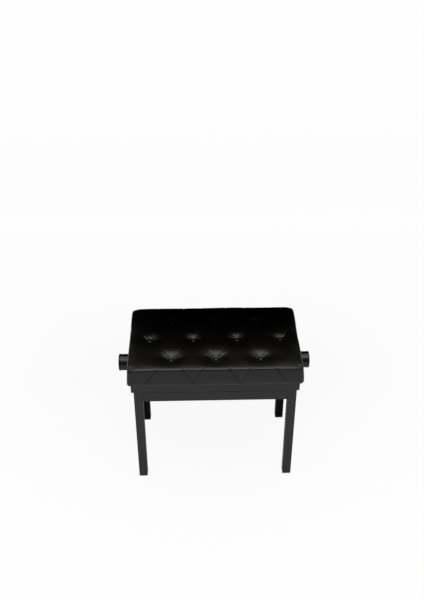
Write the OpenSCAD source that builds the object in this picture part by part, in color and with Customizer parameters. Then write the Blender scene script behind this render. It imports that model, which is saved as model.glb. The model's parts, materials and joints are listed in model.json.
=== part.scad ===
// Height-adjustable piano bench.
// Millimetres, +Z up, +X to the sitter's right, +Y to the back. The origin is on the floor under
// the middle of the bench. The seat is drawn at its lowest place.

/* [Lower frame] */
// Width over the legs
frame_w = 517; // [440:1:640]
// Depth over the legs
frame_d = 303; // [270:1:380]
// Height of the lower frame's top edge above the floor
frame_h = 380.5; // [330:0.5:440]
// Side of the square leg
leg_w = 28; // [24:1:34]
// Radius along the long edges of the wooden pieces
edge_r = 1.5; // [0.5:0.1:2.5]
// Height of an apron
apron_h = 42; // [40:1:60]
// Thickness of an apron
apron_t = 18; // [15:1:20]
// How far the top edge of a front or rear apron lies below the legs' tops
apron_drop = 4.5; // [0:0.5:6]
// How far an apron's face lies behind the leg's face
apron_setback = 3; // [2:0.5:5]
// Thickness of the felt pad under a leg
foot_pad_t = 2; // [1:0.5:4]
// How far a foot pad stays inside the leg's outline
foot_pad_inset = 1.5; // [1:0.5:4]
// How far the pads keep the lowered seat above the legs
bumper_t = 2; // [1.5:0.5:4]
// Diameter of those pads
bumper_d = 10; // [6:1:12]
// Distance of those pads from the middle of the bench
bumper_x = 167; // [120:1:180]

/* [Leg fixings] */
// Thickness of a steel corner plate
plate_t = 2; // [1.5:0.5:3]
// Height of a corner plate
plate_h = 34; // [28:1:38]
// Width of the corner plate's flanges on the aprons
plate_flange = 16; // [12:1:18]
// Gap between the corner plate and the leg's inner edge
plate_gap = 8.4; // [6:0.2:10]
// Diameter of the hanger bolt
bolt_d = 6; // [5:1:8]
// Depth of the hanger bolt in the leg
bolt_in_leg = 24; // [18:1:30]
// Length of the hanger bolt inside the corner plate
bolt_inside = 16; // [14:1:18]
// Diameter of the bolt's washer
washer_d = 16; // [14:1:18]
// Thickness of the bolt's washer
washer_t = 1.2; // [1:0.1:1.5]
// Diameter of the wing nut's hub
wing_hub_d = 11; // [10:0.5:12]
// Height of the wing nut's hub
wing_hub_h = 6; // [5:0.5:8]
// Tip-to-tip width of the wings
wing_span = 26; // [20:1:30]
// Thickness of a wing
wing_t = 2.4; // [2:0.1:3]
// Height of a wing, from the washer
wing_h = 10; // [8:1:13]

/* [Seat frame] */
// How far a side skirt rail stands out over the legs
skirt_over_x = 7.5; // [5:0.5:12]
// How far the front and rear skirt rails stand out over the legs
skirt_over_y = 5.5; // [4:0.5:12]
// Height of a skirt rail
skirt_h = 33.5; // [30:0.5:50]
// Thickness of a skirt rail
skirt_t = 18; // [15:1:20]
// Radius along the edges and corners of the skirt
skirt_edge_r = 3; // [1.5:0.5:4]
// Side of a triangular corner block
block_side = 40; // [34:1:44]
// Height of a corner block
block_h = 26; // [22:1:28]

/* [Seat cushion] */
// How far the cushion stands out over the seat frame
cushion_over = 11; // [6:0.5:14]
// Height of the cushion, seat board included
cushion_t = 64; // [50:1:90]
// Radius of the cushion's upright corners
cushion_corner_r = 10; // [9:1:20]
// How far the cushion's bottom edge draws in
cushion_tuck = 3; // [2:0.5:6.5]
// How far the cushion's top edge draws in
cushion_shoulder = 10; // [8:1:20]
// Thickness of the seat board
board_t = 12; // [10:1:15]
// How far the board's edge lies inside the cushion
board_inset = 11; // [7.5:0.5:13]

/* [Tufting] */
// Number of buttons in the middle row; the other two rows have one less
long_row_buttons = 4; // [3:1:5]
// Distance of the middle row's end buttons from the cushion's sides
tuft_edge_x = 65.5; // [60:0.5:90]
// Distance of the outer rows from the cushion's front and back
tuft_edge_y = 71; // [50:0.5:73]
// How far the hand-set buttons lie right of the middle
tuft_shift = 3; // [0:0.5:6]
// Diameter of a button
button_d = 16; // [12:1:20]
// Height of a button
button_h = 5; // [4:0.5:7]
// Height of a button's straight side
button_side = 2; // [1:0.5:2.5]
// Depth of a button's seat below the cushion's top
tuft_depth = 14; // [10:1:20]
// How far the hollow round a button widens towards the top
tuft_flare = 12; // [6:1:16]
// Diameter of the button twine
twine_d = 1.6; // [1:0.2:2.4]
// Diameter of the washer that holds the twine under the board
twine_washer_d = 10; // [8:1:12]
// Thickness of that washer
twine_washer_t = 2; // [1:0.5:3]

/* [Scissor lift] */
// How far the seat rises
lift = 100; // [60:1:110]
// How far the fixed lower pivots lie under the lead screw
pivot_drop = 28.5; // [26:0.5:29]
// Width of a scissor arm
arm_w = 20; // [18:1:21]
// Thickness of a scissor arm
arm_t = 3; // [2.5:0.5:4]
// Diameter of the pivot shafts
shaft_d = 10; // [8:1:10]
// Thickness of the steel rails and brackets
rail_t = 2.5; // [2:0.5:3]
// Distance of a lower rail from the long apron beside it
track_inset = 51; // [49.5:0.5:57.5]
// Room between an arm and the upper rail beside it
rail_gap = 2; // [1.8:0.1:2.5]
// Room between the inner and the outer arm
arm_gap = 0.5; // [0.4:0.1:1]
// Gap between an upper rail's flange and the twine washers beside it
washer_gap = 3; // [2:0.5:6]
// Width of a lower rail's bottom flange
lip_w = 12; // [8:1:14]
// Width of the end tabs of a lower rail
tab_w = 18; // [16:1:20]
// Height of the web above and below the pivots of a lower rail
web_edge = 12; // [11:0.5:12.5]
// Distance of a tab's screws from its top and bottom edge
tab_screw_edge = 6; // [5:0.5:7]
// Diameter of the slide rollers
roller_d = 16; // [14:1:17]
// Distance of the tie tube from the outer arms' lower pivot
tie_x = 48; // [40:1:55]
// Diameter of a rivet's head
rivet_head_d = 12; // [10:1:14]
// Thickness of a rivet's head
rivet_head_t = 1.3; // [1:0.1:1.4]
// Diameter of the centre rivets
rivet_d = 8; // [6:1:9]
// Outside diameter of a retaining ring
ring_d = 16; // [14:1:17]
// Thickness of a retaining ring
ring_t = 1.2; // [1:0.1:1.4]

/* [Screw drive] */
// Diameter of the lead screw
screw_d = 12; // [10:1:14]
// Side of the travelling bar's square section
bar_w = 16; // [14:1:16]
// Size of the travelling bar's middle block along the screw
nut_block_l = 18; // [17:1:20]
// Width of that block
nut_block_w = 30; // [26:1:34]
// Height of that block
nut_block_h = 26; // [24:1:26]
// Outside diameter of the drive nut
nut_d = 18; // [17:0.5:20]
// Diameter of the drive nut's flange
nut_flange_d = 24; // [22:1:26]
// Thickness of that flange
nut_flange_t = 3; // [2:0.5:4]
// Width of an end bracket
bracket_w = 60; // [40:1:90]
// Width of an end bracket's top flange
bracket_flange = 13; // [12:0.5:13.5]
// How far a bracket reaches below the screw's middle
bracket_drop = 14; // [13:0.5:16]
// Gap between an end bracket and the side apron
bracket_gap = 4; // [3:0.5:6]
// Outside diameter of a bushing
bushing_d = 17; // [15:1:19]
// Diameter of a bushing's flange
bushing_flange_d = 23; // [21:1:25]
// Thickness of a bushing's flange
bushing_flange_t = 1.5; // [1:0.5:2]
// Diameter of a thrust collar
collar_d = 22; // [20:1:24]
// Width of a thrust collar
collar_w = 8; // [6:1:10]
// Gap between a thrust collar and the lowered seat's travelling bar
bar_gap = 1.2; // [0.8:0.1:2]

/* [Knobs] */
// Diameter of a knob's smooth rim
knob_d = 56; // [46:1:60]
// Length of a knob's grip
knob_l = 38; // [32:1:44]
// Width of the smooth rim at the outer end
knob_rim_w = 6; // [4:0.5:10]
// How much the grip is smaller than the rim, on the radius
knob_step = 0.8; // [0.5:0.1:2]
// Radius of the rim's outer edge
knob_edge_r = 4; // [2:0.5:5]
// Depth of the dish in a knob's outer end
knob_dish = 2; // [1:0.5:3]
// Width of the flat and rounded ring around the dish
knob_face_w = 8; // [6:0.5:12]
// Diameter of a knob's hub
hub_d = 26; // [22:1:30]
// Length of a knob's hub
hub_l = 8.5; // [8:0.5:12]
// Gap between the hub and the skirt rail
hub_gap = 1.5; // [1:0.5:3]
// Thickness of the grip in front of the screw's end
knob_end_t = 10; // [8:1:14]
// Diameter of the set screw in the hub
set_screw_d = 5; // [4:0.5:6]

/* [Wood screws] */
// Diameter of the shank
wood_screw_d = 3.5; // [3:0.1:4]
// Length of the shank
wood_screw_l = 12; // [10:0.5:13]
// Diameter of the head
wood_screw_head_d = 7; // [6:0.5:7.5]
// Thickness of the head
wood_screw_head_t = 2; // [1.5:0.1:2.2]

/* [Fits] */
// Radial clearance of a turning shaft, and of a pin in its hole
running_fit = 0.05; // [0.02:0.01:0.1]
// Radial clearance of a screw in a plate
plate_fit = 0.3; // [0.2:0.1:0.5]
// Radial clearance of a button's twine in the seat board
twine_fit = 0.8; // [0.4:0.1:1.2]
// Radial clearance of a roller in its slot in a lower rail
slot_fit = 0.2; // [0.1:0.05:0.3]
// Radial clearance where the linkage is left open: nut, upper rail slots and upper pivots
loop_fit = 0.6; // [0.5:0.05:0.7]
// Gap between pieces that slide past each other
side_gap = 0.3; // [0.2:0.05:0.4]
// Clearance of the screw in the notches of the aprons and skirt rails
notch_fit = 3; // [2:0.5:4]

/* [Hidden] */
$fn = 48;
HULL_FN = 32;
CUT = 1;
SKIN = 0.01;
LEFT = -1;
RIGHT = 1;
FRONT = -1;
REAR = 1;
SIDES = [-1, 1];

// Heights
screw_z = frame_h;
skirt_z = frame_h + bumper_t;
board_z = skirt_z + skirt_h;
seat_top = board_z + cushion_t;
pivot_z = screw_z - pivot_drop;
apron_z = frame_h - apron_h;
long_apron_h = apron_h - apron_drop;
plate_z = apron_z + long_apron_h / 2;

// Half widths of the frames
leg_in_x = frame_w / 2 - leg_w;
leg_in_y = frame_d / 2 - leg_w;
apron_out_x = frame_w / 2 - apron_setback;
apron_out_y = frame_d / 2 - apron_setback;
apron_in_x = apron_out_x - apron_t;
apron_in_y = apron_out_y - apron_t;
skirt_x = frame_w / 2 + skirt_over_x;
skirt_y = frame_d / 2 + skirt_over_y;
seat_x = skirt_x + cushion_over;
seat_y = skirt_y + cushion_over;
board_corner_r = max(cushion_corner_r - board_inset, 1);
notch_r = screw_d / 2 + notch_fit;

// Stations along the screw, from the side apron inwards
bracket_out = apron_in_x - bracket_gap;
bracket_in = bracket_out - rail_t;
collar_out = bracket_in - side_gap;
bar_out = collar_out - collar_w - bar_gap;
pivot_x = bar_out - nut_block_l / 2;

// Scissor geometry at the lowest place and at the top
arm_len = sqrt(pow(2 * pivot_x, 2) + pow(pivot_drop, 2));
arm_angle = asin(pivot_drop / arm_len);
bar_travel = 2 * pivot_x - sqrt(pow(arm_len, 2) - pow(pivot_drop + lift, 2));

// Planes of the linkage, as distances from the middle of the bench
lower_web = apron_in_y - track_inset;
outer_arm_y = lower_web - rail_gap - arm_t;
inner_arm_y = outer_arm_y - arm_gap - arm_t;
upper_web = inner_arm_y - rail_gap - rail_t;
web_top = pivot_z + web_edge - rail_t;
web_low = pivot_z - web_edge;
upper_rail_x = pivot_x + arm_w / 2 + rail_t;
tab_screw_z = [web_low + tab_screw_edge, web_top - tab_screw_edge];

// Knob stations
hub_in = skirt_x + hub_gap;
grip_in = hub_in + hub_l;
knob_out = grip_in + knob_l;
screw_end = knob_out - knob_end_t;

// Places of the buttons: a long row in the middle, a short one in front and behind
tuft_x = 2 * (seat_x - tuft_edge_x) / (long_row_buttons - 1);
tuft_y = seat_y - tuft_edge_y;
function row(count, y) =
    [for (i = [0:count - 1]) [tuft_shift + (i - (count - 1) / 2) * tuft_x, y]];
buttons_at = concat(
    row(long_row_buttons - 1, -tuft_y),
    row(long_row_buttons, 0),
    row(long_row_buttons - 1, tuft_y)
);
button_z = seat_top - tuft_depth;

// Width of an upper rail's top flange, which ends short of the twine washers
rail_flange = tuft_y - twine_washer_d / 2 - washer_gap - upper_web - rail_t;

// Places of the wood screws
RAIL_SCREW_SHARES = [-0.85, -0.3, 0.3, 0.85];
upper_rail_screw_x = RAIL_SCREW_SHARES * upper_rail_x;
upper_rail_screw_y = upper_web + rail_t + rail_flange / 2;
bracket_screw_y = bracket_w / 2 - wood_screw_head_d;
bracket_screw_x = bracket_out + bracket_flange / 2;
block_screw_in = block_side / 3;
block_web = wood_screw_l / 2;
plate_screw_z = [plate_z - plate_h / 4, plate_z + plate_h / 4];

// Corner plate: where its slanted wall meets the aprons, in the rear right corner
plate_sum = leg_in_x + leg_in_y - plate_gap * sqrt(2);
plate_corner_y = plate_sum - apron_in_x;
plate_corner_x = plate_sum - apron_in_y;
plate_mid = [(apron_in_x + plate_corner_x) / 2, (apron_in_y + plate_corner_y) / 2];

// Colours
BLACK_LACQUER = [0.05, 0.05, 0.05];
BLACK_LEATHER = [0.08, 0.08, 0.08];
BLACK_PLASTIC = [0.12, 0.12, 0.12];
BLACK_STEEL = [0.15, 0.15, 0.16];
BRIGHT_STEEL = [0.72, 0.73, 0.75];
BRASS = [0.78, 0.62, 0.30];
PLYWOOD = [0.78, 0.64, 0.45];
SOFTWOOD = [0.82, 0.70, 0.50];
NYLON = [0.88, 0.87, 0.82];
FELT = [0.10, 0.10, 0.10];
PALE_RUBBER = [0.60, 0.60, 0.58];
TWINE = [0.75, 0.70, 0.58];

// ---------- Shared shapes ----------

// Mirrors what is drawn in the rear right corner into the corner given by two signs.
module to_corner(side, end) {
    mirror([side < 0 ? 1 : 0, 0, 0])
        mirror([0, end < 0 ? 1 : 0, 0])
            children();
}

// Copies what is drawn in the rear right corner into all four corners.
module in_corners() {
    for (side = SIDES, end = SIDES)
        to_corner(side, end) children();
}

// Copies what is drawn at the rear to the front and the rear.
module front_and_rear() {
    for (end = SIDES)
        to_corner(RIGHT, end) children();
}

// Copies what is drawn at the right to the left and the right.
module left_and_right() {
    for (side = SIDES)
        to_corner(side, REAR) children();
}

// A rectangle with round corners, centred.
module round_rect(w, h, r) {
    square([w - 2 * r, h], center = true);
    square([w, h - 2 * r], center = true);
    for (x = SIDES, y = SIDES)
        translate([x * (w / 2 - r), y * (h / 2 - r)]) circle(r);
}

// A bar along X, centred, with its section in Y and Z.
module bar_along_x(len, y, z, r) {
    rotate([90, 0, 90])
        linear_extrude(len, center = true) round_rect(y, z, r);
}

// A bar along Y, centred, with its section in X and Z.
module bar_along_y(len, x, z, r) {
    rotate([90, 0, 0])
        linear_extrude(len, center = true) round_rect(x, z, r);
}

// A cylinder along X from x to x + len.
module rod_x(x, len, d) {
    translate([x, 0, 0]) rotate([0, 90, 0]) cylinder(h = len, d = d);
}

// A cylinder along Y from y to y + len.
module rod_y(y, len, d) {
    translate([0, y, 0]) rotate([-90, 0, 0]) cylinder(h = len, d = d);
}

// A tube along Y from y to y + len.
module tube_y(y, len, d, bore) {
    difference() {
        rod_y(y, len, d);
        rod_y(y - CUT, len + 2 * CUT, bore);
    }
}

// A wood screw along +Z, its head's bearing face at z = 0.
module wood_screw() {
    translate([0, 0, -wood_screw_head_t])
        cylinder(h = wood_screw_head_t, d = wood_screw_head_d);
    cylinder(h = wood_screw_l, d = wood_screw_d);
}

// The hole for that screw in wood, deeper than the screw.
module screw_hole() {
    translate([0, 0, -CUT])
        cylinder(h = wood_screw_l + 2 * CUT, d = wood_screw_d + 2 * running_fit);
}

// The hole for that screw in a steel plate whose inner face is at z = 0.
module screw_hole_in_plate(t) {
    translate([0, 0, -CUT])
        cylinder(h = t + 2 * CUT, d = wood_screw_d + 2 * plate_fit);
}

// A slot along X cut through a web, from x0 to x1, in the plane y.
module slot_x(x0, x1, y, t, d) {
    for (x = [x0, x1])
        translate([x, 0, 0]) rod_y(y - CUT, t + 2 * CUT, d);
    translate([x0, y - CUT, -d / 2]) cube([x1 - x0, t + 2 * CUT, d]);
}

// ---------- Lower frame ----------

module bolt_axis() {
    translate([plate_mid[0], plate_mid[1], plate_z])
        rotate([0, 0, 45]) rotate([0, 90, 0]) children();
}

module leg(side, end) {
    color(BLACK_LACQUER) to_corner(side, end)
        difference() {
            translate([frame_w / 2 - leg_w / 2, frame_d / 2 - leg_w / 2, foot_pad_t])
                linear_extrude(frame_h - foot_pad_t) round_rect(leg_w, leg_w, edge_r);
            bolt_axis() cylinder(h = plate_gap + bolt_in_leg + CUT, d = bolt_d + 2 * running_fit);
        }
}

// Holes that the corner plates' screws need in the aprons.
module plate_screw_places() {
    for (z = plate_screw_z) {
        translate([plate_corner_x - plate_flange / 2, apron_in_y - plate_t, z])
            rotate([-90, 0, 0]) children();
        translate([apron_in_x - plate_t, plate_corner_y - plate_flange / 2, z])
            rotate([0, 90, 0]) children();
    }
}

module tab_screw_places() {
    for (z = tab_screw_z)
        translate([apron_in_x - rail_t, lower_web - tab_w / 2, z])
            rotate([0, 90, 0]) children();
}

module long_apron(end) {
    color(BLACK_LACQUER) to_corner(RIGHT, end)
        difference() {
            translate([0, apron_out_y - apron_t / 2, apron_z + long_apron_h / 2])
                bar_along_x(2 * leg_in_x, apron_t, long_apron_h, edge_r);
            in_corners() plate_screw_places() screw_hole();
        }
}

module side_apron(side) {
    color(BLACK_LACQUER) to_corner(side, REAR)
        difference() {
            translate([apron_out_x - apron_t / 2, 0, frame_h - apron_h / 2])
                bar_along_y(2 * leg_in_y, apron_t, apron_h, edge_r);
            in_corners() plate_screw_places() screw_hole();
            front_and_rear() tab_screw_places() screw_hole();
            translate([0, 0, screw_z])
                rod_x(apron_in_x - CUT, apron_t + 2 * CUT, 2 * notch_r);
        }
}

module corner_plate(side, end) {
    bend = plate_t * (sqrt(2) - 1);
    color(BLACK_STEEL) to_corner(side, end)
        difference() {
            translate([0, 0, plate_z - plate_h / 2]) linear_extrude(plate_h)
                polygon([
                    [apron_in_x, plate_corner_y - plate_flange],
                    [apron_in_x, plate_corner_y],
                    [plate_corner_x, apron_in_y],
                    [plate_corner_x - plate_flange, apron_in_y],
                    [plate_corner_x - plate_flange, apron_in_y - plate_t],
                    [plate_corner_x - bend, apron_in_y - plate_t],
                    [apron_in_x - plate_t, plate_corner_y - bend],
                    [apron_in_x - plate_t, plate_corner_y - plate_flange]
                ]);
            bolt_axis() translate([0, 0, -plate_t - CUT])
                cylinder(h = plate_t + 2 * CUT, d = bolt_d + 2 * plate_fit);
            plate_screw_places() screw_hole_in_plate(plate_t);
        }
}

module hanger_bolts() {
    color(BRIGHT_STEEL) in_corners()
        bolt_axis() translate([0, 0, -bolt_inside])
            cylinder(h = bolt_inside + plate_gap + bolt_in_leg, d = bolt_d);
}

module bolt_washers() {
    color(BRIGHT_STEEL) in_corners()
        bolt_axis() translate([0, 0, -plate_t - washer_t])
            difference() {
                cylinder(h = washer_t, d = washer_d);
                translate([0, 0, -CUT])
                    cylinder(h = washer_t + 2 * CUT, d = bolt_d + 2 * plate_fit);
            }
}

module wing_nuts() {
    color(BRIGHT_STEEL) in_corners()
        bolt_axis() translate([0, 0, -plate_t - washer_t])
            difference() {
                union() {
                    translate([0, 0, -wing_hub_h]) cylinder(h = wing_hub_h, d = wing_hub_d);
                    intersection() {
                        translate([-wing_span / 2, -wing_t / 2, -wing_h])
                            cube([wing_span, wing_t, wing_h]);
                        translate([0, 0, wing_span / 6 - wing_h]) rotate([90, 0, 0])
                            cylinder(h = wing_span, d = wing_span, center = true);
                    }
                }
                translate([0, 0, -wing_span])
                    cylinder(h = 2 * wing_span, d = bolt_d + 2 * running_fit);
            }
}

module frame_screws() {
    color(BRIGHT_STEEL) in_corners() {
        plate_screw_places() wood_screw();
        tab_screw_places() wood_screw();
    }
}

module foot_pads() {
    pad_w = leg_w - 2 * foot_pad_inset;
    color(FELT) in_corners()
        translate([frame_w / 2 - leg_w / 2, frame_d / 2 - leg_w / 2, 0])
            linear_extrude(foot_pad_t) round_rect(pad_w, pad_w, edge_r);
}

module bumper_pads() {
    color(PALE_RUBBER) in_corners()
        translate([bumper_x, apron_out_y - apron_t / 2, apron_z + long_apron_h])
            cylinder(h = apron_drop + bumper_t, d = bumper_d);
}

// A lower rail: a web with a pivot hole, a slot, a bottom lip and end tabs.
module lower_rail(end) {
    slot_d = roller_d + 2 * slot_fit;
    color(BLACK_STEEL) to_corner(RIGHT, end)
        difference() {
            union() {
                translate([-apron_in_x, lower_web, web_low])
                    cube([2 * apron_in_x, rail_t, web_top - web_low]);
                translate([rail_t - apron_in_x, lower_web, web_low])
                    cube([2 * (apron_in_x - rail_t), rail_t + lip_w, rail_t]);
                left_and_right()
                    translate([apron_in_x - rail_t, lower_web - tab_w, web_low])
                        cube([rail_t, tab_w + rail_t, web_top - web_low]);
            }
            translate([-pivot_x, 0, pivot_z])
                rod_y(lower_web - CUT, rail_t + 2 * CUT, shaft_d + 2 * running_fit);
            translate([0, 0, pivot_z])
                slot_x(pivot_x - bar_travel, pivot_x, lower_web, rail_t, slot_d);
            left_and_right() tab_screw_places() screw_hole_in_plate(rail_t);
        }
}

module lower_pivot_shaft() {
    half = lower_web + rail_t + 2 * ring_t;
    color(BRIGHT_STEEL) translate([-pivot_x, 0, pivot_z])
        rod_y(-half, 2 * half, shaft_d);
}

// A retaining ring on a shaft along Y, beside the face at y.
module ring(y) {
    tube_y(y + running_fit, ring_t, ring_d, shaft_d + 2 * running_fit);
}

module lower_shaft_rings() {
    color(BRIGHT_STEEL) translate([-pivot_x, 0, pivot_z])
        front_and_rear() ring(lower_web + rail_t);
}

// ---------- Seat frame ----------

// The mitred outline of a long or a side skirt rail, seen from above.
module mitre(x, y, t) {
    intersection() {
        polygon([[-x, y], [x, y], [x - t, y - t], [t - x, y - t]]);
        round_rect(2 * x, 2 * y, skirt_edge_r);
    }
}

module long_skirt(end) {
    color(BLACK_LACQUER) to_corner(RIGHT, end)
        intersection() {
            translate([0, skirt_y - skirt_t / 2, skirt_z + skirt_h / 2])
                bar_along_x(2 * skirt_x, skirt_t, skirt_h, skirt_edge_r);
            translate([0, 0, skirt_z]) linear_extrude(skirt_h)
                mitre(skirt_x, skirt_y, skirt_t);
        }
}

module side_skirt(side) {
    color(BLACK_LACQUER) to_corner(side, REAR)
        difference() {
            intersection() {
                translate([skirt_x - skirt_t / 2, 0, skirt_z + skirt_h / 2])
                    bar_along_y(2 * skirt_y, skirt_t, skirt_h, skirt_edge_r);
                translate([0, 0, skirt_z]) linear_extrude(skirt_h)
                    mirror([1, -1, 0]) mitre(skirt_y, skirt_x, skirt_t);
            }
            translate([0, 0, screw_z])
                rod_x(skirt_x - skirt_t - CUT, skirt_t + 2 * CUT, 2 * notch_r);
        }
}

module block_screw_place() {
    translate([skirt_x - skirt_t - block_screw_in, skirt_y - skirt_t - block_screw_in,
            board_z - block_web])
        children();
}

module corner_blocks() {
    x = skirt_x - skirt_t;
    y = skirt_y - skirt_t;
    color(SOFTWOOD) in_corners()
        difference() {
            translate([0, 0, board_z - block_h]) linear_extrude(block_h)
                polygon([[x, y], [x - block_side, y], [x, y - block_side]]);
            block_screw_place() {
                screw_hole();
                translate([0, 0, -block_h])
                    cylinder(h = block_h, d = wood_screw_head_d + 2 * plate_fit);
            }
        }
}

module rail_screw_places() {
    for (x = upper_rail_screw_x)
        translate([x, upper_rail_screw_y, board_z - rail_t]) children();
}

module bracket_screw_places() {
    for (end = SIDES)
        translate([bracket_screw_x, end * bracket_screw_y, board_z - rail_t]) children();
}

module seat_screws() {
    color(BRIGHT_STEEL) {
        front_and_rear() rail_screw_places() wood_screw();
        left_and_right() bracket_screw_places() wood_screw();
        in_corners() block_screw_place() wood_screw();
    }
}

module seat_board() {
    color(PLYWOOD) difference() {
        translate([0, 0, board_z]) linear_extrude(board_t)
            round_rect(2 * (seat_x - board_inset), 2 * (seat_y - board_inset), board_corner_r);
        for (p = buttons_at)
            translate([p[0], p[1], board_z - CUT])
                cylinder(h = board_t + 2 * CUT, d = twine_d + 2 * twine_fit);
        front_and_rear() rail_screw_places() screw_hole();
        left_and_right() bracket_screw_places() screw_hole();
        in_corners() block_screw_place() screw_hole();
    }
}

// One level of the cushion's outline, drawn in by inset.
module cushion_level(z, inset) {
    translate([0, 0, z]) linear_extrude(SKIN)
        round_rect(2 * (seat_x - inset), 2 * (seat_y - inset), cushion_corner_r, $fn = HULL_FN);
}

module cushion() {
    belly_z = board_z + cushion_t / 2;
    color(BLACK_LEATHER) difference() {
        hull() {
            cushion_level(board_z, cushion_tuck);
            cushion_level(board_z + board_t, cushion_tuck / 3);
            cushion_level(belly_z, 0);
            cushion_level(seat_top - 1.2 * tuft_depth, cushion_tuck / 4);
            cushion_level(seat_top - cushion_tuck, cushion_shoulder / 3);
            cushion_level(seat_top - SKIN, cushion_shoulder);
        }
        translate([0, 0, board_z - CUT]) linear_extrude(board_t + CUT)
            round_rect(2 * (seat_x - board_inset), 2 * (seat_y - board_inset), board_corner_r);
        for (p = buttons_at)
            translate([p[0], p[1], 0]) {
                translate([0, 0, button_z])
                    cylinder(h = tuft_depth + CUT, d1 = button_d + 2 * side_gap,
                        d2 = button_d + 2 * tuft_flare);
                translate([0, 0, board_z]) cylinder(h = cushion_t, d = twine_d + twine_fit);
            }
    }
}

module buttons() {
    dome = button_h - button_side;
    dome_r = (pow(button_d / 2, 2) + pow(dome, 2)) / (2 * dome);
    color(BLACK_LEATHER)
        for (p = buttons_at)
            translate([p[0], p[1], button_z])
                rotate_extrude() intersection() {
                    translate([0, button_h - dome_r]) circle(dome_r);
                    square([button_d / 2, button_h]);
                }
}

module button_twines() {
    low = board_z - twine_washer_t;
    color(TWINE)
        for (p = buttons_at)
            translate([p[0], p[1], low]) cylinder(h = button_z - low, d = twine_d);
}

module twine_washers() {
    color(NYLON)
        for (p = buttons_at)
            translate([p[0], p[1], board_z - twine_washer_t])
                difference() {
                    cylinder(h = twine_washer_t, d = twine_washer_d);
                    translate([0, 0, -CUT])
                        cylinder(h = twine_washer_t + 2 * CUT, d = twine_d + 2 * running_fit);
                }
}

// An upper rail: a web with a pivot hole and a slot, and a flange under the seat board.
module upper_rail(end) {
    slot_d = roller_d + 2 * loop_fit;
    web_z = screw_z - slot_d / 2 - 2 * rail_t;
    color(BLACK_STEEL) to_corner(RIGHT, end)
        difference() {
            union() {
                translate([-upper_rail_x, upper_web, web_z])
                    cube([2 * upper_rail_x, rail_t, board_z - web_z]);
                translate([-upper_rail_x, upper_web, board_z - rail_t])
                    cube([2 * upper_rail_x, rail_t + rail_flange, rail_t]);
            }
            translate([-pivot_x, 0, screw_z])
                rod_y(upper_web - CUT, rail_t + 2 * CUT, shaft_d + 2 * running_fit);
            translate([0, 0, screw_z])
                slot_x(pivot_x - bar_travel, pivot_x, upper_web, rail_t, slot_d);
            rail_screw_places() screw_hole_in_plate(rail_t);
        }
}

// Studs that carry the inner arms' upper ends, headed on both sides.
module upper_pivot_studs() {
    y0 = upper_web - rivet_head_t;
    y1 = inner_arm_y + arm_t + side_gap;
    color(BRIGHT_STEEL) translate([-pivot_x, 0, screw_z]) front_and_rear() {
        rod_y(y0, y1 - y0 + rivet_head_t, shaft_d);
        rod_y(y0, rivet_head_t, ring_d);
        rod_y(upper_web + rail_t, rail_gap - side_gap, ring_d);
        rod_y(y1, rivet_head_t, ring_d);
    }
}

module screw_bracket(side) {
    low = screw_z - bracket_drop;
    color(BLACK_STEEL) to_corner(side, REAR)
        difference() {
            union() {
                translate([bracket_in, -bracket_w / 2, low])
                    cube([rail_t, bracket_w, board_z - low]);
                translate([bracket_in, -bracket_w / 2, board_z - rail_t])
                    cube([rail_t + bracket_flange, bracket_w, rail_t]);
            }
            translate([0, 0, screw_z])
                rod_x(bracket_in - CUT, rail_t + 2 * CUT, bushing_d + 2 * running_fit);
            bracket_screw_places() screw_hole_in_plate(rail_t);
        }
}

module bushings() {
    color(NYLON) translate([0, 0, screw_z]) left_and_right()
        difference() {
            union() {
                rod_x(bracket_in, rail_t, bushing_d);
                rod_x(bracket_out, bushing_flange_t, bushing_flange_d);
            }
            rod_x(bracket_in - CUT, rail_t + bushing_flange_t + 2 * CUT,
                screw_d + 2 * running_fit);
        }
}

// ---------- Screw and knobs ----------

module lead_screw() {
    color(BRIGHT_STEEL) translate([0, 0, screw_z])
        rod_x(-screw_end, 2 * screw_end, screw_d);
}

// A knob's outline turned about its axis: hub, smooth grip, rim and a shallow dished end.
module knob_turning() {
    grip_r = knob_d / 2 - knob_step;
    rim_in = knob_out - knob_rim_w;
    rotate([90, 0, 90]) rotate_extrude() {
        translate([0, hub_in]) square([hub_d / 2, hub_l + CUT]);
        translate([0, grip_in]) square([grip_r, knob_l - knob_rim_w]);
        translate([0, rim_in]) square([knob_d / 2, knob_rim_w - knob_edge_r]);
        translate([0, rim_in]) square([knob_d / 2 - knob_edge_r, knob_rim_w]);
        translate([knob_d / 2 - knob_edge_r, knob_out - knob_edge_r]) circle(knob_edge_r);
    }
}

module knob(side) {
    color(BLACK_PLASTIC) translate([0, 0, screw_z]) to_corner(side, REAR)
        difference() {
            knob_turning();
            rod_x(hub_in - CUT, screw_end - hub_in + CUT, screw_d + 2 * running_fit);
            translate([hub_in + hub_l / 2, 0, 0])
                cylinder(h = hub_d, d = set_screw_d + 2 * running_fit);
            rod_x(knob_out - knob_dish, knob_dish + CUT, knob_d - 2 * knob_face_w);
        }
}

module thrust_collars() {
    color(BRIGHT_STEEL) translate([0, 0, screw_z]) left_and_right()
        difference() {
            rod_x(collar_out - collar_w, collar_w, collar_d);
            rod_x(collar_out - collar_w - CUT, collar_w + 2 * CUT, screw_d + 2 * running_fit);
        }
}

module knob_set_screws() {
    low = screw_d / 2 + running_fit;
    color(BRIGHT_STEEL) translate([0, 0, screw_z]) left_and_right()
        translate([hub_in + hub_l / 2, 0, low])
            cylinder(h = hub_d / 2 - low - running_fit, d = set_screw_d);
}

// ---------- Travelling bar ----------

module at_bar() {
    translate([pivot_x, 0, screw_z]) children();
}

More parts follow.
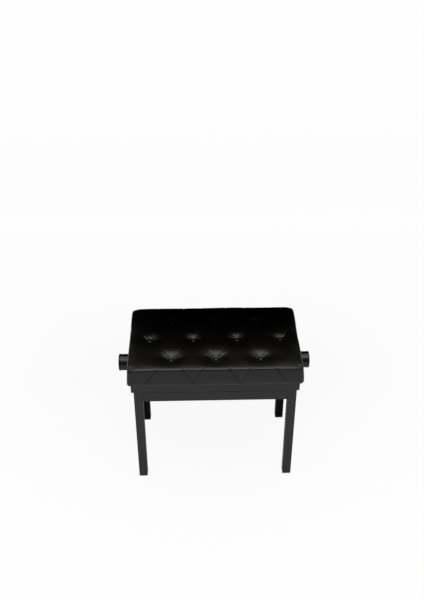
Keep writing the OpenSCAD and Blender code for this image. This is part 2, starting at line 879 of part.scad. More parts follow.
module travelling_bar() {
    body_half = upper_web - loop_fit;
    journal_half = outer_arm_y + arm_t + 2 * ring_t;
    color(BLACK_STEEL) at_bar()
        difference() {
            union() {
                cube([bar_w, 2 * body_half, bar_w], center = true);
                cube([nut_block_l, nut_block_w, nut_block_h], center = true);
                rod_y(-journal_half, 2 * journal_half, shaft_d);
            }
            rod_x(-nut_block_l, 2 * nut_block_l, nut_d + 2 * running_fit);
        }
}

module drive_nut() {
    color(BRASS) at_bar()
        difference() {
            union() {
                rod_x(-nut_block_l / 2, nut_block_l, nut_d);
                rod_x(-nut_block_l / 2 - nut_flange_t, nut_flange_t, nut_flange_d);
            }
            rod_x(-nut_block_l, 2 * nut_block_l, screw_d + 2 * loop_fit);
        }
}

module bar_rollers() {
    color(NYLON) at_bar() front_and_rear()
        tube_y(upper_web - side_gap, rail_t + 2 * side_gap, roller_d, shaft_d + 2 * running_fit);
}

module bar_rings() {
    color(BRIGHT_STEEL) at_bar() front_and_rear() ring(outer_arm_y + arm_t);
}

// ---------- Scissor arms ----------

// A flat bar with round ends from the origin along +X, in the plane y, with holes at x in holes.
module flat_arm(y, holes) {
    difference() {
        union() {
            translate([0, y, -arm_w / 2]) cube([arm_len, arm_t, arm_w]);
            for (x = [0, arm_len]) translate([x, 0, 0]) rod_y(y, arm_t, arm_w);
        }
        for (h = holes)
            translate([h[0], 0, 0]) rod_y(y - CUT, arm_t + 2 * CUT, h[1]);
    }
}

module at_outer_pivot() {
    translate([-pivot_x, 0, pivot_z]) rotate([0, -arm_angle, 0]) children();
}

module at_inner_pivot() {
    translate([-pivot_x, 0, screw_z]) rotate([0, arm_angle, 0]) children();
}

module outer_arm(end) {
    hole = shaft_d + 2 * running_fit;
    color(BLACK_STEEL) to_corner(RIGHT, end) at_outer_pivot()
        flat_arm(outer_arm_y, [
            [0, hole],
            [tie_x, hole],
            [arm_len / 2, rivet_d + 2 * running_fit],
            [arm_len, hole]
        ]);
}

module inner_arm(end) {
    color(BLACK_STEEL) to_corner(RIGHT, end) at_inner_pivot()
        flat_arm(inner_arm_y, [
            [0, shaft_d + 2 * loop_fit],
            [arm_len / 2, rivet_d + 2 * running_fit],
            [arm_len, shaft_d + 2 * running_fit]
        ]);
}

module arm_tie_tube() {
    half = outer_arm_y + arm_t;
    color(BLACK_STEEL) at_outer_pivot() translate([tie_x, 0, 0])
        difference() {
            rod_y(-half, 2 * half, shaft_d);
            rod_y(-half - CUT, 2 * (half + CUT), shaft_d - 2 * rail_t);
        }
}

module centre_rivets() {
    y0 = inner_arm_y - side_gap - rivet_head_t;
    y1 = outer_arm_y + arm_t;
    color(BRIGHT_STEEL) at_outer_pivot() translate([arm_len / 2, 0, 0]) front_and_rear() {
        rod_y(y0, y1 - y0 + rivet_head_t, rivet_d);
        rod_y(y0, rivet_head_t, rivet_head_d);
        rod_y(y1, rivet_head_t, rivet_head_d);
    }
}

module at_slide_end() {
    translate([pivot_x, 0, pivot_z]) children();
}

module sliding_shaft() {
    half = lower_web + rail_t + side_gap + 2 * ring_t;
    color(BRIGHT_STEEL) at_slide_end() rod_y(-half, 2 * half, shaft_d);
}

module slide_rollers() {
    color(NYLON) at_slide_end() front_and_rear()
        tube_y(lower_web - side_gap, rail_t + 2 * side_gap, roller_d, shaft_d + 2 * running_fit);
}

module sliding_shaft_rings() {
    color(BRIGHT_STEEL) at_slide_end() front_and_rear() ring(lower_web + rail_t + side_gap);
}

// ---------- Output ----------

leg(LEFT, FRONT);  // leg_front_left
leg(RIGHT, FRONT);  // leg_front_right
leg(LEFT, REAR);  // leg_rear_left
leg(RIGHT, REAR);  // leg_rear_right
long_apron(FRONT);  // apron_front
long_apron(REAR);  // apron_rear
side_apron(LEFT);  // apron_left
side_apron(RIGHT);  // apron_right
corner_plate(LEFT, FRONT);  // corner_plate_front_left
corner_plate(RIGHT, FRONT);  // corner_plate_front_right
corner_plate(LEFT, REAR);  // corner_plate_rear_left
corner_plate(RIGHT, REAR);  // corner_plate_rear_right
hanger_bolts();
bolt_washers();
wing_nuts();
frame_screws();
foot_pads();
bumper_pads();
lower_rail(FRONT);  // lower_rail_front
lower_rail(REAR);  // lower_rail_rear
lower_pivot_shaft();
lower_shaft_rings();
long_skirt(FRONT);  // skirt_front
long_skirt(REAR);  // skirt_rear
side_skirt(LEFT);  // skirt_left
side_skirt(RIGHT);  // skirt_right
seat_board();
cushion();
buttons();
button_twines();
twine_washers();
corner_blocks();
seat_screws();
upper_rail(FRONT);  // upper_rail_front
upper_rail(REAR);  // upper_rail_rear
upper_pivot_studs();
screw_bracket(LEFT);  // screw_bracket_left
screw_bracket(RIGHT);  // screw_bracket_right
bushings();
lead_screw();
knob(LEFT);  // knob_left
knob(RIGHT);  // knob_right
thrust_collars();
knob_set_screws();
travelling_bar();
drive_nut();
bar_rollers();
bar_rings();
outer_arm(FRONT);  // outer_arm_front
outer_arm(REAR);  // outer_arm_rear
arm_tie_tube();
centre_rivets();
inner_arm(FRONT);  // inner_arm_front
inner_arm(REAR);  // inner_arm_rear
sliding_shaft();
slide_rollers();
sliding_shaft_rings();
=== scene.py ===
# %% [markdown]
# # A black piano bench
# The bench has a tufted leatherette seat on a lacquered frame, a hand knob on each side and a
# scissor lift inside. The wood and the metal are ready-made parts with exact sizes, so this
# lesson gives them their finishes. What is soft or finely shaped is modelled here: the cushion,
# its buttons and the thread of the lead screw.

# %% Load the parts
import json
import math

import bmesh
import bpy
import numpy as np
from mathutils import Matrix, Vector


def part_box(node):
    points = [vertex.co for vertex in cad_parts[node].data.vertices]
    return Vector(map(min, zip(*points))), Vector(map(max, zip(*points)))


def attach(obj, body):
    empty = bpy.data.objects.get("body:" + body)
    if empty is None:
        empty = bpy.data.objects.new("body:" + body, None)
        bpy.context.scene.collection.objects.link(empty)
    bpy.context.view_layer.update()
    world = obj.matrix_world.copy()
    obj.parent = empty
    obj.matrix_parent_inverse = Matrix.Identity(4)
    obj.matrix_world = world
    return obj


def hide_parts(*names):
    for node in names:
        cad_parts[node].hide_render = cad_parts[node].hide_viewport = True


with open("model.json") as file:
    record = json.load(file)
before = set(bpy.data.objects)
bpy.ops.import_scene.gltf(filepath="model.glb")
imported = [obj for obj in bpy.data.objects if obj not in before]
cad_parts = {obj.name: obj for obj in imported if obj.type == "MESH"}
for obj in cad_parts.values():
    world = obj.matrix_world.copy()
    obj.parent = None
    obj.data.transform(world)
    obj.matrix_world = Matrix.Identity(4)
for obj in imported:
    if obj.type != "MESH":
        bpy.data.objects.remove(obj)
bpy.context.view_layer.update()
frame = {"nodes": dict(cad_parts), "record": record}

nodes = frame["nodes"]

# %% [markdown]
# ## Camera
# The bench is seen from the front and from well above, about 35 degrees down. A long lens from
# further away would flatten the legs' lean towards each other, and a short one would spread them
# too far. This one is the usual standard lens.

# %% Camera
LENS_MM = 48.24
CAMERA_AT = (-0.0583, -2.0596, 2.0798)
CAMERA_TILT = 54.8    # degrees up from looking straight down
CAMERA_TURN = -1.43   # degrees to the right
camera_data = bpy.data.cameras.new("camera")
camera_data.lens = LENS_MM
camera = bpy.data.objects.new("camera", camera_data)
camera.location = CAMERA_AT
camera.rotation_euler = (math.radians(CAMERA_TILT), 0, math.radians(CAMERA_TURN))
bpy.context.scene.collection.objects.link(camera)
bpy.context.scene.camera = camera
bpy.context.scene.view_settings.view_transform = "Standard"
print("camera:", LENS_MM, "mm,", round(90 - CAMERA_TILT, 1), "degrees down")

# %% [markdown]
# ## Shader maths
# A finish is a small network of nodes. Written out node by node it is hard to read, so short
# classes help. `Wire` wraps one output, and Python's operators on it add the Math nodes that
# work the value out. `Network` holds a tree of nodes, and its one method `node` makes any node.

# %% Wire
class Wire:
    """One output in a network of nodes. Operators on it add Math nodes."""

    def __init__(self, network, socket):
        self.network = network
        self.socket = socket

    def also(self, output):
        """Another output of the same node."""
        return Wire(self.network, self.socket.node.outputs[output])

    def math(self, operation, first, second):
        sockets = {0: first, 1: second}
        return self.network.node("ShaderNodeMath", {"operation": operation}, sockets)

    def __add__(self, other):
        return self.math("ADD", self, other)

    def __sub__(self, other):
        return self.math("SUBTRACT", self, other)

    def __rsub__(self, other):
        return self.math("SUBTRACT", other, self)

    def __mul__(self, other):
        return self.math("MULTIPLY", self, other)

    __radd__ = __add__
    __rmul__ = __mul__


# %% Network
class Network:
    """A tree of shader nodes, with one method that makes any node."""

    def __init__(self, tree):
        self.tree = tree

    def node(self, kind, settings=None, sockets=None, out=0):
        made = self.tree.nodes.new(kind)
        for key, value in (settings or {}).items():
            setattr(made, key, value)
        for key, value in (sockets or {}).items():
            self.feed(made.inputs[key], value)
        return Wire(self, made.outputs[out])

    def feed(self, socket, value):
        if isinstance(value, Wire):
            self.tree.links.new(value.socket, socket)
        else:
            socket.default_value = value


# %% [markdown]
# A `Finish` is one material. It adds the few patterns that the finishes share: noise, cells, a
# blend of two colours and a value moved to a new range. Its last methods say where a value goes.

# %% Finish
class Finish(Network):
    """A material with one Principled shader, and the network that feeds it."""

    def __init__(self, name, **constants):
        self.material = bpy.data.materials.new(name)
        self.material.use_nodes = True
        super().__init__(self.material.node_tree)
        self.shader = self.tree.nodes["Principled BSDF"]
        self.place = self.node("ShaderNodeTexCoord", out="Object")
        for socket, value in constants.items():
            self.feed(self.shader.inputs[socket.replace("_", " ")], value)

    def stretch(self, x, y, z):
        """The place on the surface with each axis scaled, for grain and brushing."""
        sockets = {0: self.place, 1: (x, y, z)}
        return self.node("ShaderNodeVectorMath", {"operation": "MULTIPLY"}, sockets)

    def noise(self, scale, detail=2.0, at=None, roughness=0.5):
        sockets = {"Vector": at or self.place, "Scale": scale, "Detail": detail,
                   "Roughness": roughness}
        return self.node("ShaderNodeTexNoise", None, sockets)

    def cells(self, scale, at, smoothness):
        """Distance from the middle of the nearest cell, with soft borders between cells."""
        sockets = {"Vector": at, "Scale": scale, "Smoothness": smoothness}
        return self.node("ShaderNodeTexVoronoi", {"feature": "SMOOTH_F1"}, sockets, "Distance")

    def between(self, factor, dark, light):
        """A colour that runs from dark, in socket 6, to light, in socket 7."""
        sockets = {"Factor": factor, 6: (*dark, 1), 7: (*light, 1)}
        return self.node("ShaderNodeMix", {"data_type": "RGBA"}, sockets, 2)

    def fit(self, value, low, high, new_low, new_high):
        """The value moved from one range to another and kept inside it."""
        sockets = {0: value, 1: low, 2: high, 3: new_low, 4: new_high}
        return self.node("ShaderNodeMapRange", {"clamp": True}, sockets)

    def colour(self, value):
        self.feed(self.shader.inputs["Base Color"], value)

    def rough(self, value):
        self.feed(self.shader.inputs["Roughness"], value)

    def relief(self, height, depth, strength=1.0):
        """Bumps of the given depth in metres where height is 1."""
        sockets = {"Strength": strength, "Distance": depth, "Height": height}
        self.feed(self.shader.inputs["Normal"], self.node("ShaderNodeBump", None, sockets))


# %% [markdown]
# ## Leatherette
# The cover is black embossed leatherette: a soft film with a fine pebble pattern. The colour is
# nearly all in the reflection, because the film itself is almost pure black. The pebbles are
# Voronoi cells of about a millimetre, a slower noise makes them uneven, and the valleys between
# them are a little rougher than their tops.

# %% Leatherette
PEBBLES_PER_M = 950
PEBBLE_SOFTNESS = 0.35
WARPS_PER_M = 400.0     # the noise that makes the pebbles uneven,
WARP = 0.0006           # and how far it moves them
WRINKLES_PER_M = 90.0
PATCHES_PER_M = 14.0


def leatherette(name, base, worn, low, high, depth):
    made = Finish(name, IOR=1.41)
    sway = made.node("ShaderNodeTexNoise", None,
                     {"Vector": made.place, "Scale": WARPS_PER_M}, "Color")
    warped = made.node("ShaderNodeVectorMath", {"operation": "MULTIPLY_ADD"},
                       {0: sway, 1: (WARP, WARP, WARP), 2: made.place})
    pebble = made.cells(PEBBLES_PER_M, warped, PEBBLE_SOFTNESS)
    fold = made.noise(WRINKLES_PER_M, 4.0)
    patch = made.noise(PATCHES_PER_M, 3.0)
    made.colour(made.between(made.fit(patch, 0.35, 0.7, 0.0, 1.0), base, worn))
    made.rough(made.fit(pebble + patch * 0.6, 0.2, 1.2, low, high))
    made.relief((1 - pebble) + fold * 0.8, depth)
    return made.material


cover = leatherette("black_leatherette", (0.0028, 0.0022, 0.0012), (0.0042, 0.0034, 0.0021),
                    0.27, 0.36, 0.00009)
button_cover = leatherette("button_leatherette", (0.0018, 0.0018, 0.0018),
                           (0.0026, 0.0025, 0.0025), 0.22, 0.30, 0.00006)

# %% [markdown]
# ## Lacquered wood
# The frame is beech under black satin lacquer. Lacquer fills the grain but not quite, so long
# shallow lines remain along each piece, and a slow waviness under them as every sprayed coat
# has. The pieces run along different axes, so the grain's direction is an argument.

# %% Lacquer
GRAIN_STRETCH = 14.0
GRAINS_PER_M = 420.0
WAVES_PER_M = 26.0
CLOUDS_PER_M = 9.0
LACQUER_DARK = (0.0042, 0.0042, 0.0043)
LACQUER_LIGHT = (0.0062, 0.0061, 0.0060)
LACQUER_DEPTH = 0.00016


def lacquer(name, axis):
    along = [1.0, 1.0, 1.0]
    along[axis] = 1.0 / GRAIN_STRETCH
    made = Finish(name, IOR=1.43)
    grain = made.noise(GRAINS_PER_M, 4.0, made.stretch(*along), 0.65)
    wave = made.noise(WAVES_PER_M, 2.0)
    cloud = made.noise(CLOUDS_PER_M, 4.0)
    made.colour(made.between(made.fit(grain, 0.3, 0.7, 0.0, 1.0), LACQUER_DARK, LACQUER_LIGHT))
    made.rough(made.fit(cloud + grain * 0.35, 0.4, 0.95, 0.27, 0.36))
    made.relief(grain * 0.25 + wave, LACQUER_DEPTH, 0.6)
    return made.material


lacquer_x = lacquer("lacquer_along_x", 0)
lacquer_y = lacquer("lacquer_along_y", 1)
lacquer_z = lacquer("lacquer_upright", 2)

# %% [markdown]
# ## Bare wood inside
# The seat board is birch plywood and the corner blocks are softwood. Both show only from below.
# Growth rings are a wave that noise bends, and their colours run from pale to tan.

# %% Plywood and softwood
RING_STRETCH = 0.06


def bare_wood(name, pale, tan, ring_scale, axis):
    along = [1.0, 1.0, 1.0]
    along[axis] = RING_STRETCH
    made = Finish(name, IOR=1.45)
    place = made.stretch(*along)
    rings = made.node("ShaderNodeTexWave", {"wave_type": "RINGS"},
                      {"Vector": place, "Scale": ring_scale, "Distortion": 9.0,
                       "Detail": 3.0, "Detail Scale": 1.4}, "Fac")
    pores = made.noise(700.0, 3.0, place)
    made.colour(made.between(rings * 0.6 + pores * 0.4, pale, tan))
    made.rough(made.fit(pores, 0.3, 0.7, 0.62, 0.8))
    made.relief(pores + rings * 0.3, 0.0001)
    return made.material


plywood = bare_wood("birch_plywood", (0.60, 0.44, 0.27), (0.47, 0.32, 0.18), 9.0, 0)
softwood = bare_wood("softwood", (0.66, 0.49, 0.29), (0.50, 0.33, 0.17), 22.0, 2)

# %% [markdown]
# ## Metals
# The rails, brackets and arms are pressed steel with a black powder coat, which is evenly
# pimpled like orange peel. The shafts, screws and rings are zinc plated: bright, slightly blue
# and mottled. The drive nut is machined brass with fine turning marks.

# %% Metals
def powder_coat():
    made = Finish("powder_coat", IOR=1.5)
    peel = made.noise(1500.0, 2.0)
    scuff = made.noise(30.0, 5.0)
    made.colour(made.between(scuff, (0.011, 0.011, 0.012), (0.020, 0.020, 0.021)))
    made.rough(made.fit(scuff, 0.3, 0.7, 0.38, 0.5))
    made.relief(peel, 0.00015)
    return made.material


def bare_metal(name, dark, light, low, high, mottle):
    made = Finish(name, Metallic=1.0)
    spots = made.noise(mottle, 4.0)
    lines = made.noise(900.0, 2.0, made.stretch(1.0, 0.08, 1.0))
    made.colour(made.between(spots, dark, light))
    made.rough(made.fit(spots + lines * 0.5, 0.4, 1.1, low, high))
    made.relief(lines, 0.00003)
    return made.material


black_steel = powder_coat()
zinc = bare_metal("zinc_plate", (0.50, 0.52, 0.56), (0.66, 0.67, 0.68), 0.26, 0.42, 160.0)
brass = bare_metal("brass", (0.62, 0.42, 0.15), (0.76, 0.56, 0.24), 0.22, 0.36, 90.0)

# %% [markdown]
# ## Small plastics and textiles
# The knobs are black moulded plastic with a light gloss. The bushings, rollers and washers are
# natural nylon, the pads in the gap are pale rubber, the leg pads are felt, and the buttons hang
# on waxed twine.

# %% Plastics and textiles
def moulded(name, dark, light, low, high, scale, depth, ior=1.5):
    made = Finish(name, IOR=ior)
    cloud = made.noise(scale, 3.0)
    made.colour(made.between(cloud, dark, light))
    made.rough(made.fit(cloud, 0.3, 0.7, low, high))
    made.relief(made.noise(scale * 12, 2.0), depth)
    return made.material


knob_plastic = moulded("knob_plastic", (0.0024, 0.0024, 0.0024), (0.0034, 0.0034, 0.0034),
                       0.14, 0.20, 60.0, 0.00002, ior=1.38)
nylon = moulded("nylon", (0.66, 0.64, 0.57), (0.74, 0.72, 0.66), 0.40, 0.52, 120.0, 0.00003)
rubber = moulded("pale_rubber", (0.30, 0.30, 0.29), (0.38, 0.38, 0.36), 0.55, 0.7, 90.0, 0.00005)


def felted(name, dark, light, scale):
    made = Finish(name, IOR=1.4)
    fibre = made.noise(scale, 6.0, None, 0.75)
    made.colour(made.between(made.fit(fibre, 0.3, 0.7, 0.0, 1.0), dark, light))
    made.rough(made.fit(fibre, 0.3, 0.7, 0.85, 1.0))
    made.relief(fibre, 0.0006)
    return made.material


felt = felted("black_felt", (0.012, 0.012, 0.012), (0.035, 0.035, 0.035), 1300.0)
twine = felted("waxed_twine", (0.40, 0.34, 0.24), (0.62, 0.55, 0.42), 1800.0)

# %% [markdown]
# ## Which part gets which finish
# The record of the parts already says what each one is made of, so the finishes are given by
# its material slots. Only lacquered wood needs more, because its grain follows the piece.

# %% Give the finishes
BY_SLOT = {
    "cushion_leatherette": cover, "button_leatherette": button_cover, "plywood": plywood,
    "softwood": softwood, "felt": felt, "bumper_rubber": rubber, "twine": twine,
    "nylon": nylon, "black_plastic": knob_plastic, "brass": brass, "zinc_steel": zinc,
    "black_steel": black_steel,
}


def lacquer_of(node):
    if node.startswith("leg"):
        return lacquer_z
    return lacquer_y if node.endswith(("left", "right")) else lacquer_x


def finish_part(node, slot):
    part = nodes[node]
    part.data.materials.clear()
    part.data.materials.append(lacquer_of(node) if slot == "black_lacquer" else BY_SLOT[slot])


subparts = frame["record"]["subparts"]
for subpart in subparts:
    finish_part(subpart["node"], subpart["material_slot"])
print("parts with a finish:", len(subparts))

# %% [markdown]
# ## The cushion's form
# The pad is a block of foam on a board. Its cover goes over the edges in one tight round and is
# drawn in below, up to the board. A box with a bevel would have the right outline but no even
# mesh to press folds into. So the form is laid out like the cover itself: a grid for the top,
# and from its rim a row of loops that go over the edge, down the side and under. Each point also
# keeps its place on the flat, unfolded cover, where the pleats are straight lines.

# %% Sizes of the cushion
low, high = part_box("cushion")
HALF = np.array([high.x, high.y])
BASE_Z = low.z
TOP_Z = high.z
CELL = 0.003              # a cell of the mesh
EDGE_R = 0.006            # the round over the top's edge
EDGE_STEPS = 5
CORNER_R = 0.010          # the upright corners, seen from above
HEM_R = 0.008             # the round at the wall's foot
HEM_STEPS = 5
WALL_TOP_IN = 0.0040      # the wall stands this far in at its top,
WALL_LOW_IN = 0.0006      # and this far in at its foot
WALL_CURVE = 1.6
RIM_IN = WALL_TOP_IN + EDGE_R + CELL
print("cushion", np.round(2 * HALF, 3), "from", round(BASE_Z, 4), "to", round(TOP_Z, 4))

# %% [markdown]
# The side is drawn once, as steps from the rim to the underside: a tight round over the edge,
# a wall that leans out as it goes down, and a round at its foot. The plan's corners are
# rounded by bending the grid's own square corners, which keeps every cell a fair quad.

# %% Side and plan
def side_profile():
    """Steps from the top's rim to the underside: how far in and how high."""
    steps = []
    wall_top = TOP_Z - EDGE_R
    wall_low = BASE_Z + HEM_R
    for i in range(1, EDGE_STEPS + 1):
        turn = math.pi / 2 * i / EDGE_STEPS
        steps.append((WALL_TOP_IN + EDGE_R * (1 - math.sin(turn)),
                      wall_top + EDGE_R * math.cos(turn)))
    rows = round((wall_top - wall_low) / CELL)
    for i in range(1, rows + 1):
        share = i / rows
        lean = (WALL_TOP_IN - WALL_LOW_IN) * (1 - share) ** WALL_CURVE
        steps.append((lean + WALL_LOW_IN, wall_top + (wall_low - wall_top) * share))
    for i in range(1, HEM_STEPS + 1):
        turn = math.pi / 2 * i / HEM_STEPS
        steps.append((HEM_R * (1 - math.cos(turn)) + WALL_LOW_IN,
                      wall_low - HEM_R * math.sin(turn)))
    return steps


def rounded_plan(gx, gy):
    """A point of the top's grid with the plan's corners rounded and its cells kept even."""
    size = HALF - RIM_IN
    straight = size - CORNER_R
    at = np.array([gx, gy]) * size
    inside = np.clip(at, -straight, straight)
    s, t = (at - inside) / CORNER_R
    bend = np.array([s * math.sqrt(1 - t * t / 2), t * math.sqrt(1 - s * s / 2)])
    return inside + bend * CORNER_R


# %% [markdown]
# Now the loops are laid. The first is the top grid's own border, and each step of the side adds
# one more, joined to the last by a band of quads.

# %% Cushion form
def rim_of(columns, rows):
    """The top grid's border, point by point round the cushion."""
    wide = columns + 1
    return ([i for i in range(columns)] + [j * wide + columns for j in range(rows)]
            + [rows * wide + i for i in range(columns, 0, -1)]
            + [j * wide for j in range(rows, 0, -1)])


def band(ring, new):
    """Quads between two loops of the same count."""
    count = len(ring)
    return [(ring[i], new[i], new[(i + 1) % count], ring[(i + 1) % count])
            for i in range(count)]


def cushion_form():
    """Points, faces and unfolded places of the plain cover, and its side's length."""
    columns, rows = (round(2 * s / CELL) for s in HALF - RIM_IN)
    flat = [rounded_plan(2 * i / columns - 1, 2 * j / rows - 1)
            for j in range(rows + 1) for i in range(columns + 1)]
    points = [(x, y, TOP_Z) for x, y in flat]
    wide = columns + 1
    faces = [(j * wide + i, j * wide + i + 1, (j + 1) * wide + i + 1, (j + 1) * wide + i)
             for j in range(rows) for i in range(columns)]
    straight = HALF - RIM_IN - CORNER_R
    ring = rim = rim_of(columns, rows)
    feet = [np.clip(flat[i], -straight, straight) for i in rim]
    ways = [(flat[i] - foot) / np.linalg.norm(flat[i] - foot) for i, foot in zip(rim, feet)]
    length, before = 0.0, (RIM_IN, TOP_Z)
    for step in side_profile():
        length += math.dist(before, step)
        before = step
        start = len(points)
        for index, foot, way in zip(rim, feet, ways):
            spot = foot / straight * (HALF - step[0] - CORNER_R) + way * CORNER_R
            points.append((*spot, step[1]))
            flat.append(flat[index] + way * length)
        new = list(range(start, len(points)))
        faces += band(ring, new)
        ring = new
    return np.array(points), faces, np.array(flat), length


form_points, form_faces, form_flat, side_length = cushion_form()
print("cushion form:", len(form_points), "points; the cover's side is", round(side_length, 4), "m")

# %% [markdown]
# ## Tufting
# Ten buttons on twine pull the cover down. Round each one the cover falls in a soft funnel.
# Between buttons the spare cover is laid in straight pleats, and from the outer buttons the
# pleats run over the edge and down the side, where neighbours meet near the hem. Simulated
# cloth alone gives folds at random places. Here each one is put where the upholsterer laid it,
# as a line on the unfolded cover.

# %% Button places
BUTTON_R = 0.008
first_button, last_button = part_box("buttons")
button_z = first_button.z
centre_x = (first_button.x + last_button.x) / 2
pitch_x = (last_button.x - first_button.x - 2 * BUTTON_R) / 3
pitch_y = (last_button.y - first_button.y - 2 * BUTTON_R) / 2


def button_row(count, y):
    return [(centre_x + (i - (count - 1) / 2) * pitch_x, y) for i in range(count)]


front_row = button_row(3, -pitch_y)
middle_row = button_row(4, 0.0)
rear_row = button_row(3, pitch_y)
buttons_at = front_row + middle_row + rear_row
print("buttons:", len(buttons_at), "pitch", round(pitch_x, 4), round(pitch_y, 4))

# %% [markdown]
# A pleat is a start and an end on the unfolded cover. Where two pleats meet near the hem, one
# stops a little short, as one fold tucks under the other. The spread of each pair is a touch
# uneven, because it is laid by hand.

# %% Pleats
FRONT_SPREAD = 0.62                # sideways run for each metre of drop
SIDE_SPREAD = 0.72
UNEVEN_SPREAD = 0.02
SHORT_OF_MEETING = 0.008
PLEAT_END = side_length - 0.006    # how far past the rim a pleat ends


def inner_pleats():
    """Between each button of the middle row and its nearest ones in the other rows."""
    reach = math.hypot(pitch_x / 2, pitch_y) * 1.05
    return [(a, b) for a in middle_row for b in front_row + rear_row if math.dist(a, b) < reach]


def edge_pleats():
    """From the outer buttons over the edge, in pairs that spread towards the hem."""
    made = []
    rim = HALF - RIM_IN
    for row, end in ((front_row, -1), (rear_row, 1)):
        for i, (x, y) in enumerate(row):
            for way in (-1, 1):
                drop = rim[1] - abs(y) + PLEAT_END - (SHORT_OF_MEETING if way < 0 else 0.0)
                lean = FRONT_SPREAD + UNEVEN_SPREAD * math.sin(2.3 * i + way)
                made.append(((x, y), (x + way * lean * drop, y + end * drop)))
    for (x, y), side in ((middle_row[0], -1), (middle_row[-1], 1)):
        run = rim[0] - abs(x) + PLEAT_END
        for way in (-1, 1):
            made.append(((x, y), (x + side * run, y + way * SIDE_SPREAD * run)))
    return made


print("pleats:", len(inner_pleats()), "inside,", len(edge_pleats()), "over the edge")

# %% [markdown]
# ## Crown
# The foam stands highest in the middle and falls off towards the edges, slowly at first. Foam is
# never quite even, so a few slow waves lie over it, and the tight cover pulls its upright
# corners down.

# %% Crown
CROWN = 0.0026            # the rise along the middle,
EDGE_CROWN = 0.0009       # and along the front and rear
SHOULDER = 0.0028         # the fall close to the edge
SHOULDER_REACH = 0.0040
SLOPE = 0.0008            # the slow fall further in
SLOPE_REACH = 0.028
WAVE = 0.0003
CORNER_DROP = 0.0034
CORNER_DROP_R = 0.0115
DROP_BELOW_TOP = 0.035    # no drop lower down than this
DROP_RUN = 0.030


def crown_height(x, y):
    """How far the padded top stands above TOP_Z, dropping towards its edges."""
    u, v = x / HALF[0], y / HALF[1]
    inset = np.maximum(np.minimum(HALF[0] - np.abs(x), HALF[1] - np.abs(y)), 0)
    edge = SHOULDER * np.exp(-inset / SHOULDER_REACH) + SLOPE * np.exp(-inset / SLOPE_REACH)
    return (CROWN * (1 - v ** 2) + EDGE_CROWN * v ** 2) * (1 - u ** 4) - edge


def soft_waves(flat):
    """Slow unevenness of the foam."""
    x, y = flat[:, 0], flat[:, 1]
    return WAVE * (np.sin(31 * x + 17 * y + 1) + np.sin(-23 * x + 39 * y)
                   + np.sin(13 * x + 57 * y + 2))


def corner_drop(points):
    """The cover pulls the foam's upright corners down a little."""
    gap = np.maximum(HALF - CORNER_R - np.abs(points[:, :2]), 0)
    r = np.hypot(gap[:, 0], gap[:, 1])
    upper = np.clip((points[:, 2] - (TOP_Z - DROP_BELOW_TOP)) / DROP_RUN, 0, 1)
    return CORNER_DROP * np.exp(-(r / CORNER_DROP_R) ** 2) * upper


# %% [markdown]
# ## Wells
# A well has a small floor round its button and a wide funnel that flattens out slowly. The rows
# stand closer together than the buttons in a row, so the funnel is wider from side to side. Its
# outline is a little pointed, like an eye, because the cover is also drawn from side to side.

# %% Wells
FUNNEL_WIDTH = 0.0155     # the depth falls to about a third over this distance
FUNNEL_STRETCH = 1.50     # wider from side to side by this much
FUNNEL_POINT = 1.7        # 2 gives an ellipse, less gives an eye
WELL_FLOOR_R = 0.0082
BUTTON_SINK = 0.0002


def well_depth(flat):
    """How deep each point of the cover lies in the deepest well that reaches it."""
    depth = np.zeros(len(flat))
    for x, y in buttons_at:
        side = (np.abs(flat[:, 0] - x) / FUNNEL_STRETCH) ** FUNNEL_POINT
        r = (side + np.abs(flat[:, 1] - y) ** FUNNEL_POINT) ** (1 / FUNNEL_POINT)
        deep = TOP_Z + crown_height(x, y) - button_z - BUTTON_SINK
        past = np.maximum(0, r - WELL_FLOOR_R)
        depth = np.maximum(depth, deep * np.exp(-past / FUNNEL_WIDTH))
    return depth


# %% [markdown]
# ## Valleys
# Every pleat lies in a groove. Between two buttons it is deepest at both ends. From a button to
# the hem it is shallow on the top, takes its full depth as it turns over the edge and fades out
# at its end. The same function serves for wide valleys in the foam now, for what holds the cloth
# next and for sharp creases in the cover later.

# %% Valleys
INNER_VALLEY = 0.0020     # between two buttons
OUTER_VALLEY = 0.0008     # from a button to the hem
VALLEY_HALF = 0.011
VALLEY_POWER = 1.3
MIDDLE_SHARE = 0.45       # of the depth is left between two buttons
MIDDLE_FADE = 0.022
TOP_SHARE = 0.14          # of the depth is there before the edge
FULL_FROM = 0.064         # the edge, measured from the button
FULL_RUN = 0.016
END_FADE = 0.008
WIDE_NEAR = 0.03          # pleats are wider this near to a button


def along_pleat(flat, start, end):
    """Distance of each point from a pleat, and how far along it the point lies."""
    a, b = np.array(start), np.array(end)
    run = np.linalg.norm(b - a)
    way = (b - a) / run
    rel = flat - a
    along = rel @ way
    off = np.abs(rel[:, 0] * way[1] - rel[:, 1] * way[0])
    beyond = np.maximum(0, np.maximum(-along, along - run))
    return np.hypot(off, beyond), np.clip(along, 0, run), run


def pleat_depth(flat, inner, outer, half, power):
    """A groove along every pleat: inner deep between buttons, outer deep over the edge."""
    depth = np.zeros(len(flat))
    for pleats, deep, both_ends in ((inner_pleats(), inner, True),
                                    (edge_pleats(), outer, False)):
        for start, end in pleats:
            off, along, run = along_pleat(flat, start, end)
            if both_ends:
                near = np.minimum(along, run - along)
                strength = MIDDLE_SHARE + (1 - MIDDLE_SHARE) * np.exp(-near / MIDDLE_FADE)
            else:
                near = along
                full = np.clip((along - FULL_FROM) / FULL_RUN, 0, 1)
                strength = TOP_SHARE + (1 - TOP_SHARE) * full
                strength = strength * np.clip((run - along) / END_FADE, 0, 1)
            wide = half * (0.8 + 0.4 * np.exp(-near / WIDE_NEAR))
            depth = np.maximum(depth, deep * strength * np.exp(-(off / wide) ** power))
    return depth


